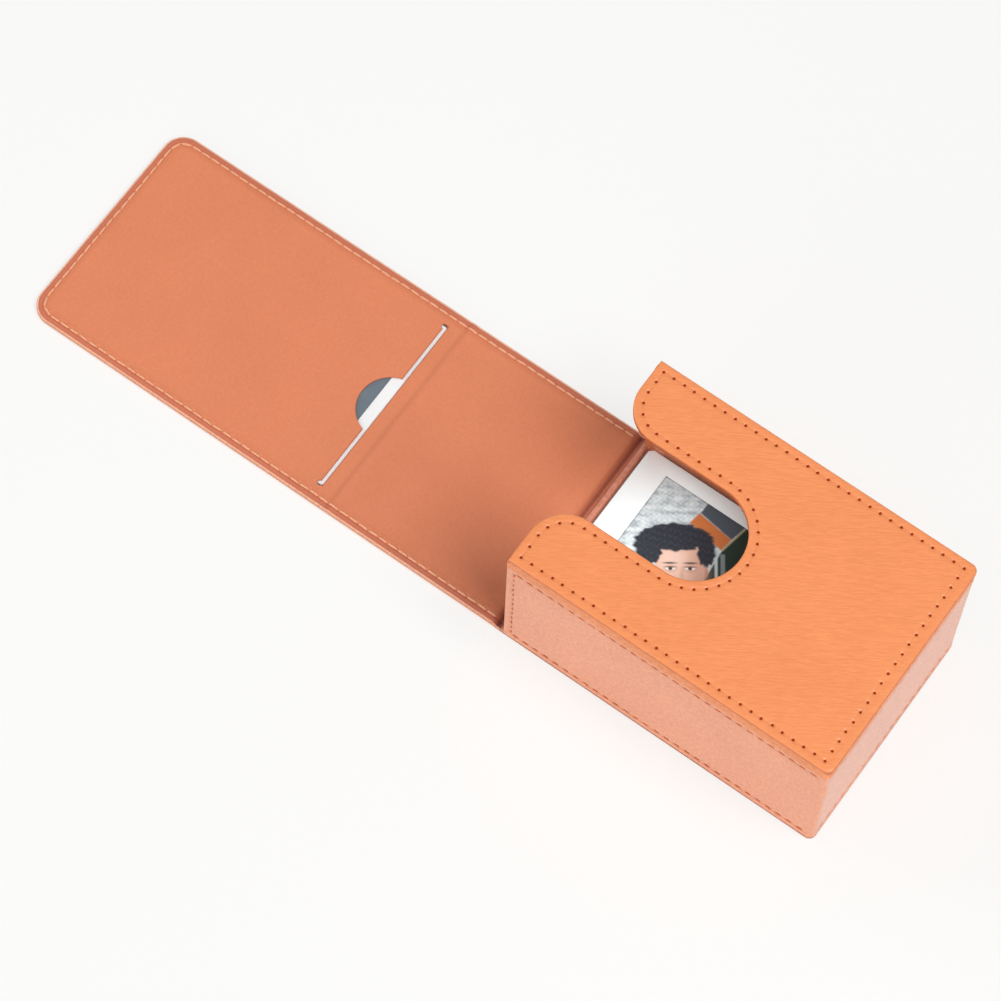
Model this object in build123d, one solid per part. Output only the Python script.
from build123d import *
import os

# A leather-covered card box for instant photo prints, with a long flap that folds over its mouth and its top.
#
# Frame: millimetres. The origin is the middle of the box's underside. +Z is up, +X points to the closed end,
# -X to the mouth and the open flap, and +Y to the far long wall.
# The flap lies open and flat, as a continuation of the box's underside.

# ---------------------------------------------------------------- driving dimensions

# The print that the box is made for.
PRINT_WIDTH = 54.0
PRINT_LENGTH = 86.0
PRINT_THICKNESS = 0.4
PICTURE_WIDTH = 46.0
PICTURE_LENGTH = 62.0
TRAY_PICTURE_BORDER = 7.5
POCKET_PICTURE_BORDER = 6.8
FILM_THICKNESS = 0.1

# The box.
BOX_LENGTH = 93.0
BOX_WIDTH = 64.4
BOX_HEIGHT = 51.0
CORNER_RADIUS = 2.0
WALL_SKIN = 0.7
WALL_BOARD = 1.4
WALL_LINING = 0.5
FRONT_SKIN = 0.5
TURN_IN = 6.0
FLOOR_LINING = 0.8

# The base and the flap are one layered sheet: skin, board, lining.
SHEET_THICKNESS = 2.2
SHEET_SKIN = 0.6
SHEET_LINING = 0.5
SHEET_RIM = 0.5
COVER_BOARD = 0.55

# The top panel and its finger notch.
PANEL_SKIN = 1.3
PANEL_BOARD = 0.8
PANEL_LINING = 0.3
PANEL_SETBACK = 0.4
PANEL_EDGE_STEP = 0.3
PANEL_EDGE_ROUND = 0.5
NOTCH_DEPTH = 45.2
NOTCH_WIDTH = 25.8
NOTCH_OFF_CENTRE = 0.25
LOBE_RADIUS = 10.2

# The rounded edge of the tray's floor at the mouth.
SILL_WRAP = 0.5
SILL_WIDTH = 2.8
SILL_FRONT_ROUND = 0.75
SILL_BACK_ROUND = 0.3

# The two creases. The lines they turn about are given by their distance from the mouth and their height.
# The top one turns about its outer skin, so that the shut cover lies down on the box.
MOUTH_CREASE = 2.1
MOUTH_CREASE_HEIGHT = 1.1
MOUTH_CREASE_HALF = 1.2
TOP_CREASE = 54.2
TOP_CREASE_HEIGHT = 0.35
SPINE_BOARD_SETBACK = 1.95
COVER_BOARD_SETBACK = 1.3
CREASE_LINING = 0.5

# The flap, its slit and its thumb cut, as distances from the mouth.
FLAP_REACH = 150.0
FLAP_CORNER = 6.0
SLIT_NEAREST = 59.5
SLIT_FURTHEST = 60.5
SLIT_LENGTH = 53.6
SLIT_END_HOLE = 0.7
THUMB_RADIUS = 8.9
THUMB_REACH = 66.9
POCKET_NEAREST = 56.0
POCKET_FURTHEST = 147.0
POCKET_WIDTH = 55.0

# Stitching.
STITCH_PITCH = 3.05
STITCH_LENGTH = 2.3
STITCH_WIDTH = 0.5
GROOVE_WIDTH = 0.9
PANEL_GROOVE_DEPTH = 0.3
GUSSET_GROOVE_DEPTH = 0.25
SHEET_GROOVE_DEPTH = 0.2
PANEL_STITCH_INSET = 2.3
PANEL_END_INSET = 3.0
FLAP_STITCH_INSET = 2.1
GUSSET_TOP_ROW = 44.0
GUSSET_BOTTOM_ROW = 3.1
GUSSET_HEM = 2.3
GUSSET_ROW_END_GAP = 2.6

# Where the prints lie.
PRINT_GAP = 0.05
TRAY_PRINT_FROM_MOUTH = 2.2
TRAY_PRINT_OFF_CENTRE = 2.4
LOWER_PRINT_FROM_MOUTH = 3.0
LOWER_PRINT_OFF_CENTRE = 1.2
POCKET_PRINT_FROM_MOUTH = 56.2

# Magnets that hold the cover down.
MAGNET_RADIUS = 5.0
MAGNET_OFF_CENTRE = 18.0
MAGNET_FROM_MOUTH = 141.0
COVER_MAGNET_THICKNESS = 0.5
PANEL_MAGNET_THICKNESS = 0.7

# ---------------------------------------------------------------- sizes worked out from them

MOUTH = -BOX_LENGTH / 2
BACK = BOX_LENGTH / 2
SIDE = BOX_WIDTH / 2
WALL = WALL_SKIN + WALL_BOARD + WALL_LINING
BOARD_OUTER = SIDE - WALL_SKIN
BOARD_INNER = BOARD_OUTER - WALL_BOARD
TRAY_SIDE = SIDE - WALL
TRAY_BACK = BACK - WALL
FLOOR_TOP = SHEET_THICKNESS + FLOOR_LINING
PANEL_SKIN_BOTTOM = BOX_HEIGHT - PANEL_SKIN
WALL_TOP = PANEL_SKIN_BOTTOM - PANEL_BOARD
PANEL_FRONT = MOUTH + PANEL_SETBACK
NOTCH_HALF = NOTCH_WIDTH / 2
NOTCH_CENTRE = MOUTH + NOTCH_DEPTH - NOTCH_HALF
BASE_FRONT = MOUTH - MOUTH_CREASE + MOUTH_CREASE_HALF
SPINE_FRONT = MOUTH - MOUTH_CREASE - MOUTH_CREASE_HALF
SPINE_END = MOUTH - TOP_CREASE + SPINE_BOARD_SETBACK
COVER_START = MOUTH - TOP_CREASE - COVER_BOARD_SETBACK
FLAP_TIP = MOUTH - FLAP_REACH
LINING_BOTTOM = SHEET_THICKNESS - SHEET_LINING
COVER_BOARD_TOP = SHEET_SKIN + COVER_BOARD

# When the flap is shut, the top crease stands above the mouth crease, less the difference of their heights, and a
# point of the cover lies as far past it towards the closed end as it now lies past it towards the tip.
SHUT_TOP_CREASE_X = MOUTH - MOUTH_CREASE + TOP_CREASE_HEIGHT - MOUTH_CREASE_HEIGHT
SHUT_MAGNET_X = SHUT_TOP_CREASE_X + MAGNET_FROM_MOUTH - TOP_CREASE

UP = (0, 0, 1)
DOWN = (0, 0, -1)


# ---------------------------------------------------------------- helpers

def block(x_span, y_span, z_span):
    """A plain block between the low and high value given for each axis."""
    spans = (x_span, y_span, z_span)
    low_corner = [min(span) for span in spans]
    sizes = [abs(span[1] - span[0]) for span in spans]
    return Pos(*low_corner) * Box(*sizes, align=(Align.MIN, Align.MIN, Align.MIN))


def raised(outline, z_low, z_high):
    """A flat outline in the XY plane made solid between two heights."""
    return extrude(Pos(0, 0, z_low) * outline, amount=z_high - z_low, dir=UP)


def save(shape, name):
    """Writes one node of the model."""
    export_step(shape, f"parts/{name}.step")


def stitch(point, along, outward, depth):
    """One stitch: a short round-ended thread, sunk into the surface by its own depth."""
    plane = Plane(origin=point, x_dir=along, z_dir=outward)
    return extrude(plane * SlotOverall(STITCH_LENGTH, STITCH_WIDTH), amount=-depth)


def stitches_on(edges, outward, depth):
    """Evenly spaced stitches on each edge in turn, so that a needle hole falls on every corner."""
    made = []
    for edge in edges:
        count = max(1, round(edge.length / STITCH_PITCH))
        for number in range(count):
            share = (number + 0.5) / count
            made.append(stitch(edge @ share, edge % share, outward, depth))
    return made


def straight(start, end):
    """The straight edge between two points."""
    return Edge.make_line(start, end)


# ---------------------------------------------------------------- outlines

def box_outline(inset, front=MOUTH):
    """The box's plan, drawn in by inset at the sides and the closed end, with the closed end's corners rounded."""
    face = Face.make_rect(BACK - inset - front, 2 * (SIDE - inset))
    face = Pos((BACK - inset + front) / 2, 0, 0) * face
    radius = CORNER_RADIUS - inset
    return face.fillet_2d(radius, face.vertices().group_by(Axis.X)[-1])


def cover_outline(inset):
    """The cover segment's plan, drawn in by inset at its sides and tip, with the tip's corners rounded."""
    tip = FLAP_TIP + inset
    face = Pos((tip + COVER_START) / 2, 0, 0) * Face.make_rect(COVER_START - tip, 2 * (SIDE - inset))
    return face.fillet_2d(FLAP_CORNER - inset, face.vertices().group_by(Axis.X)[0])


def panel_edges(inset, end_inset=None):
    """The top panel's outline, drawn in by inset: two lobes at the mouth with the round-ended notch between them."""
    front = PANEL_FRONT + inset
    back = BACK - (inset if end_inset is None else end_inset)
    side = SIDE - inset
    lobe_x = PANEL_FRONT + LOBE_RADIUS
    lobe = LOBE_RADIUS - inset
    notch = NOTCH_HALF + inset
    middle = NOTCH_OFF_CENTRE
    far, near = middle + notch, middle - notch
    far_lobe, near_lobe = far + lobe, near - lobe
    return [
        straight((front, side), (front, far_lobe)),
        Edge.make_circle(lobe, Plane((lobe_x, far_lobe)), 180, 270),
        straight((lobe_x, far), (NOTCH_CENTRE, far)),
        Edge.make_circle(notch, Plane((NOTCH_CENTRE, middle)), -90, 90),
        straight((NOTCH_CENTRE, near), (lobe_x, near)),
        Edge.make_circle(lobe, Plane((lobe_x, near_lobe)), 90, 180),
        straight((front, near_lobe), (front, -side)),
        straight((front, -side), (back, -side)),
        straight((back, -side), (back, side)),
        straight((back, side), (front, side)),
    ]


def panel_outline(inset, end_inset=None, rounded=True):
    """The top panel's plan as a face, with the closed end's corners rounded or left square."""
    face = Face(Wire(panel_edges(inset, end_inset)))
    if not rounded:
        return face
    return face.fillet_2d(CORNER_RADIUS - inset, face.vertices().group_by(Axis.X)[-1])


def flap_stitch_edges(z):
    """The cover's line of stitching at height z: along one side, round the tip and back along the other."""
    side = SIDE - FLAP_STITCH_INSET
    tip = FLAP_TIP + FLAP_STITCH_INSET
    turn = FLAP_CORNER - FLAP_STITCH_INSET
    return [
        straight((COVER_START, side, z), (tip + turn, side, z)),
        Edge.make_circle(turn, Plane((tip + turn, side - turn, z)), 90, 180),
        straight((tip, side - turn, z), (tip, turn - side, z)),
        Edge.make_circle(turn, Plane((tip + turn, turn - side, z)), 180, 270),
        straight((tip + turn, -side, z), (COVER_START, -side, z)),
    ]


def spine_stitch_edges(z):
    """The spine's two straight lines of stitching at height z."""
    side = SIDE - FLAP_STITCH_INSET
    return [straight((SPINE_END, y, z), (SPINE_FRONT, y, z)) for y in (-side, side)]


def flap_groove(outline_at):
    """The plan of the groove that the flap's stitching lies in, from an outline that can be drawn in."""
    half = GROOVE_WIDTH / 2
    return outline_at(FLAP_STITCH_INSET - half) - outline_at(FLAP_STITCH_INSET + half)


# ---------------------------------------------------------------- base and tray floor

def make_base():
    """The leather under the box, the board it is turned up round, and the lining of the tray's floor."""
    skin = raised(box_outline(0, BASE_FRONT), 0, SHEET_THICKNESS)
    skin -= raised(box_outline(SHEET_RIM, BASE_FRONT), SHEET_SKIN, SHEET_THICKNESS)
    save(skin, "base_skin")

    board_front = BASE_FRONT + SILL_WRAP
    save(raised(box_outline(SHEET_RIM, board_front), SHEET_SKIN, SHEET_THICKNESS), "base_board")

    sill_end = BASE_FRONT + SILL_WIDTH
    floor = block((sill_end, TRAY_BACK), (-TRAY_SIDE, TRAY_SIDE), (SHEET_THICKNESS, FLOOR_TOP))
    save(floor, "floor_lining")

    top = block((BASE_FRONT, sill_end), (-TRAY_SIDE, TRAY_SIDE), (SHEET_THICKNESS, FLOOR_TOP))
    long_top_edges = top.edges().filter_by(Axis.Y).group_by(Axis.Z)[-1].sort_by(Axis.X)
    top = fillet(long_top_edges[0], SILL_FRONT_ROUND)
    long_top_edges = top.edges().filter_by(Axis.Y).group_by(Axis.Z)[-1].sort_by(Axis.X)
    top = fillet(long_top_edges[-1], SILL_BACK_ROUND)
    rim_side = SIDE - SHEET_RIM
    front = block((BASE_FRONT, board_front), (-rim_side, rim_side), (SHEET_SKIN, SHEET_THICKNESS))
    save(top + front, "mouth_sill")


# ---------------------------------------------------------------- walls

def make_wall_boards():
    """Two long boards with the end board between them, all inside the gusset."""
    inside = raised(box_outline(WALL_SKIN, MOUTH + FRONT_SKIN), SHEET_THICKNESS, WALL_TOP)
    z_span = (SHEET_THICKNESS, WALL_TOP)
    everywhere = (MOUTH, BACK)
    save(inside & block(everywhere, (-SIDE, -BOARD_INNER), z_span), "near_wall_board")
    save(inside & block(everywhere, (BOARD_INNER, SIDE), z_span), "far_wall_board")
    end_span = (TRAY_BACK + WALL_LINING, BACK - WALL_SKIN)
    save(block(end_span, (-BOARD_INNER, BOARD_INNER), z_span), "end_wall_board")


def make_wall_linings():
    """Thin linings inside the boards. The long ones start where the gusset's turned-in hem ends."""
    z_span = (SHEET_THICKNESS, WALL_TOP)
    x_span = (MOUTH + TURN_IN, TRAY_BACK)
    save(block(x_span, (-BOARD_INNER, -TRAY_SIDE), z_span), "near_wall_lining")
    save(block(x_span, (TRAY_SIDE, BOARD_INNER), z_span), "far_wall_lining")
    end_span = (TRAY_BACK, TRAY_BACK + WALL_LINING)
    save(block(end_span, (-BOARD_INNER, BOARD_INNER), z_span), "end_wall_lining")


def gusset_row_edges(z):
    """One line of stitching round the gusset at height z, as three straight runs clear of the corners."""
    front = MOUTH + GUSSET_HEM
    back = BACK - GUSSET_ROW_END_GAP
    end = SIDE - GUSSET_ROW_END_GAP
    return {
        (0, -1, 0): straight((front, -SIDE, z), (back, -SIDE, z)),
        (1, 0, 0): straight((BACK, -end, z), (BACK, end, z)),
        (0, 1, 0): straight((back, SIDE, z), (front, SIDE, z)),
    }


def make_gusset():
    """One leather strip round three walls, folded round the long boards' front edges and hemmed inside."""
    outer = raised(box_outline(0), SHEET_THICKNESS, PANEL_SKIN_BOTTOM)
    skin = outer - raised(box_outline(WALL_SKIN), SHEET_THICKNESS, PANEL_SKIN_BOTTOM)
    for facing in (-1, 1):
        y_span = (facing * TRAY_SIDE, facing * SIDE)
        z_span = (SHEET_THICKNESS, WALL_TOP)
        skin += block((MOUTH, MOUTH + FRONT_SKIN), y_span, z_span)
        skin += block((MOUTH, MOUTH + TURN_IN), (facing * TRAY_SIDE, facing * BOARD_INNER), z_span)

    groove_band = raised(box_outline(0), 0, GROOVE_WIDTH)
    groove_band -= raised(box_outline(GUSSET_GROOVE_DEPTH), 0, GROOVE_WIDTH)
    groove_band &= block((MOUTH + GUSSET_HEM - GROOVE_WIDTH / 2, BACK), (-SIDE, SIDE), (0, GROOVE_WIDTH))
    rows = (GUSSET_TOP_ROW, GUSSET_BOTTOM_ROW)
    for row in rows:
        skin -= Pos(0, 0, row - GROOVE_WIDTH / 2) * groove_band
    hem_x = MOUTH + GUSSET_HEM
    hem_span = (hem_x - GROOVE_WIDTH / 2, hem_x + GROOVE_WIDTH / 2)
    for facing in (-1, 1):
        y_span = (facing * (SIDE - GUSSET_GROOVE_DEPTH), facing * SIDE)
        skin -= block(hem_span, y_span, (GUSSET_BOTTOM_ROW, GUSSET_TOP_ROW))
    save(skin, "gusset_skin")

    threads = []
    for row in rows:
        for outward, edge in gusset_row_edges(row).items():
            threads += stitches_on([edge], outward, GUSSET_GROOVE_DEPTH)
    for facing in (-1, 1):
        hem = straight((hem_x, facing * SIDE, GUSSET_BOTTOM_ROW), (hem_x, facing * SIDE, GUSSET_TOP_ROW))
        threads += stitches_on([hem], (0, facing, 0), GUSSET_GROOVE_DEPTH)
    save(Compound(children=threads), "gusset_stitches")


# ---------------------------------------------------------------- top panel

def magnet_places(x):
    """The centres of a pair of magnets at x, one each side of the middle."""
    return [(x, y) for y in (-MAGNET_OFF_CENTRE, MAGNET_OFF_CENTRE)]


def discs(places, z_low, thickness):
    """Upright discs of the magnets' size at the given places."""
    face = Face(Wire(Edge.make_circle(MAGNET_RADIUS)))
    return [raised(Pos(x, y, 0) * face, z_low, z_low + thickness) for x, y in places]


def make_top_panel():
    """Skin, board and lining of the top, all with the finger notch, and the magnets let into the board."""
    skin = raised(panel_outline(0), PANEL_SKIN_BOTTOM, BOX_HEIGHT)
    skin = fillet(skin.faces().sort_by(Axis.Z)[-1].edges(), PANEL_EDGE_ROUND)
    half = GROOVE_WIDTH / 2
    outside = panel_outline(PANEL_STITCH_INSET - half, PANEL_END_INSET - half, rounded=False)
    inside = panel_outline(PANEL_STITCH_INSET + half, PANEL_END_INSET + half, rounded=False)
    skin -= raised(outside - inside, BOX_HEIGHT - PANEL_GROOVE_DEPTH, BOX_HEIGHT)
    save(skin, "top_panel_skin")

    edges = [Pos(0, 0, BOX_HEIGHT) * e for e in panel_edges(PANEL_STITCH_INSET, PANEL_END_INSET)]
    save(Compound(children=stitches_on(edges, UP, PANEL_GROOVE_DEPTH)), "top_panel_stitches")

    magnets = discs(magnet_places(SHUT_MAGNET_X), WALL_TOP, PANEL_MAGNET_THICKNESS)
    stepped_back = panel_outline(PANEL_EDGE_STEP)
    board = raised(stepped_back, WALL_TOP, PANEL_SKIN_BOTTOM)
    board &= raised(box_outline(WALL_SKIN), WALL_TOP, PANEL_SKIN_BOTTOM)
    for magnet in magnets:
        board -= magnet
    save(board, "top_panel_board")
    save(Compound(children=magnets), "top_panel_magnets")

    lining_bottom = WALL_TOP - PANEL_LINING
    lining = raised(stepped_back, lining_bottom, WALL_TOP)
    lining &= block((MOUTH, TRAY_BACK), (-TRAY_SIDE, TRAY_SIDE), (lining_bottom, WALL_TOP))
    save(lining, "top_panel_lining")


# ---------------------------------------------------------------- flap

def make_mouth_crease():
    """The flap's first fold: no board, so skin and lining lie on each other and leave a groove above."""
    x_span = (SPINE_FRONT, BASE_FRONT)
    save(block(x_span, (-SIDE, SIDE), (0, SHEET_SKIN)), "mouth_crease_skin")
    side = SIDE - SHEET_RIM
    lining = block(x_span, (-side, side), (SHEET_SKIN, SHEET_SKIN + CREASE_LINING))
    save(lining, "mouth_crease_lining")


def make_top_crease():
    """The flap's second fold: skin below, lining bridging the gap between the boards above."""
    x_span = (COVER_START, SPINE_END)
    save(block(x_span, (-SIDE, SIDE), (0, SHEET_SKIN)), "top_crease_skin")
    side = SIDE - SHEET_RIM
    save(block(x_span, (-side, side), (LINING_BOTTOM, SHEET_THICKNESS)), "top_crease_lining")


def make_spine():
    """The segment that stands in front of the mouth when the flap is shut."""
    x_span = (SPINE_END, SPINE_FRONT)
    side = SIDE - SHEET_RIM
    skin = block(x_span, (-SIDE, SIDE), (0, SHEET_THICKNESS))
    skin -= block(x_span, (-side, side), (SHEET_SKIN, SHEET_THICKNESS))
    lining = block(x_span, (-side, side), (LINING_BOTTOM, SHEET_THICKNESS))
    for line in (-1, 1):
        middle = line * (SIDE - FLAP_STITCH_INSET)
        y_span = (middle - GROOVE_WIDTH / 2, middle + GROOVE_WIDTH / 2)
        skin -= block(x_span, y_span, (0, SHEET_GROOVE_DEPTH))
        lining -= block(x_span, y_span, (SHEET_THICKNESS - SHEET_GROOVE_DEPTH, SHEET_THICKNESS))
    save(skin, "spine_skin")
    save(block(x_span, (-side, side), (SHEET_SKIN, LINING_BOTTOM)), "spine_board")
    save(lining, "spine_lining")
    threads = stitches_on(spine_stitch_edges(SHEET_THICKNESS), UP, SHEET_GROOVE_DEPTH)
    threads += stitches_on(spine_stitch_edges(0), DOWN, SHEET_GROOVE_DEPTH)
    save(Compound(children=threads), "spine_stitches")


def slit_outline():
    """The opening cut in the cover's lining: a slit with round ends and a half-moon thumb cut beside it."""
    near_x = MOUTH - SLIT_NEAREST
    far_x = MOUTH - SLIT_FURTHEST
    middle_x = (near_x + far_x) / 2
    opening = Pos(middle_x, 0, 0) * Face.make_rect(near_x - far_x, SLIT_LENGTH)
    for y in (-SLIT_LENGTH / 2, SLIT_LENGTH / 2):
        opening += Pos(far_x, y, 0) * Face(Wire(Edge.make_circle(SLIT_END_HOLE)))
    thumb = Pos(MOUTH - THUMB_REACH + THUMB_RADIUS, 0, 0) * Face(Wire(Edge.make_circle(THUMB_RADIUS)))
    beyond_slit = Pos(middle_x - THUMB_RADIUS, 0, 0) * Face.make_rect(2 * THUMB_RADIUS, 2 * THUMB_RADIUS)
    return opening + (thumb & beyond_slit)


def make_pocket_spacers():
    """Four strips of card round the pocket, between the cover's board and its lining."""
    ring = raised(cover_outline(SHEET_RIM), COVER_BOARD_TOP, LINING_BOTTOM)
    tip_x = MOUTH - POCKET_FURTHEST
    start_x = MOUTH - POCKET_NEAREST
    half = POCKET_WIDTH / 2
    z_span = (COVER_BOARD_TOP, LINING_BOTTOM)
    strips = [
        ring & block((FLAP_TIP, COVER_START), (-SIDE, -half), z_span),
        ring & block((FLAP_TIP, COVER_START), (half, SIDE), z_span),
        ring & block((FLAP_TIP, tip_x), (-half, half), z_span),
        ring & block((start_x, COVER_START), (-half, half), z_span),
    ]
    save(Compound(children=strips), "cover_pocket_spacers")


def make_cover():
    """The segment that lies on the top when the flap is shut, with the print pocket behind its lining."""
    skin = raised(cover_outline(0), 0, SHEET_THICKNESS)
    skin -= raised(cover_outline(SHEET_RIM), SHEET_SKIN, SHEET_THICKNESS)
    groove = flap_groove(cover_outline)
    skin -= raised(groove, 0, SHEET_GROOVE_DEPTH)
    save(skin, "cover_skin")

    magnets = discs(magnet_places(MOUTH - MAGNET_FROM_MOUTH), SHEET_SKIN, COVER_MAGNET_THICKNESS)
    board = raised(cover_outline(SHEET_RIM), SHEET_SKIN, COVER_BOARD_TOP)
    for magnet in magnets:
        board -= magnet
    save(board, "cover_board")
    save(Compound(children=magnets), "cover_magnets")

    make_pocket_spacers()

    lining = raised(cover_outline(SHEET_RIM), LINING_BOTTOM, SHEET_THICKNESS)
    lining -= raised(slit_outline(), LINING_BOTTOM, SHEET_THICKNESS)
    lining -= raised(groove, SHEET_THICKNESS - SHEET_GROOVE_DEPTH, SHEET_THICKNESS)
    save(lining, "cover_lining")

    threads = stitches_on(flap_stitch_edges(SHEET_THICKNESS), UP, SHEET_GROOVE_DEPTH)
    threads += stitches_on(flap_stitch_edges(0), DOWN, SHEET_GROOVE_DEPTH)
    save(Compound(children=threads), "cover_stitches")


# ---------------------------------------------------------------- prints

def make_print(name, end_x, heading, y_centre, z_low, border):
    """A print lying flat: a white card with its picture film let in flush.

    end_x is the card's end beside the narrow white border, and heading is 1 or -1, the way the card runs from it.
    """
    z_high = z_low + PRINT_THICKNESS
    x_span = sorted((end_x, end_x + heading * PRINT_LENGTH))
    y_span = (y_centre - PRINT_WIDTH / 2, y_centre + PRINT_WIDTH / 2)
    card = block(x_span, y_span, (z_low, z_high))
    film_end = end_x + heading * border
    film_x = sorted((film_end, film_end + heading * PICTURE_LENGTH))
    film_y = (y_centre - PICTURE_WIDTH / 2, y_centre + PICTURE_WIDTH / 2)
    film = block(film_x, film_y, (z_high - FILM_THICKNESS, z_high))
    save(card - film, f"{name}_card")
    save(film, f"{name}_picture")


def make_prints():
    """Two prints lying in the tray, drawn to the mouth, and one tucked into the cover's pocket."""
    lower_z = FLOOR_TOP + PRINT_GAP
    upper_z = lower_z + PRINT_THICKNESS + PRINT_GAP
    border = TRAY_PICTURE_BORDER
    make_print("lower_print", MOUTH + LOWER_PRINT_FROM_MOUTH, 1, LOWER_PRINT_OFF_CENTRE, lower_z, border)
    make_print("tray_print", MOUTH + TRAY_PRINT_FROM_MOUTH, 1, TRAY_PRINT_OFF_CENTRE, upper_z, border)
    pocket_z = COVER_BOARD_TOP + PRINT_GAP
    make_print("pocket_print", MOUTH - POCKET_PRINT_FROM_MOUTH, -1, 0, pocket_z, POCKET_PICTURE_BORDER)


# ---------------------------------------------------------------- the whole box

os.makedirs("parts", exist_ok=True)
make_base()
make_wall_boards()
make_wall_linings()
make_gusset()
make_top_panel()
make_mouth_crease()
make_top_crease()
make_spine()
make_cover()
make_prints()
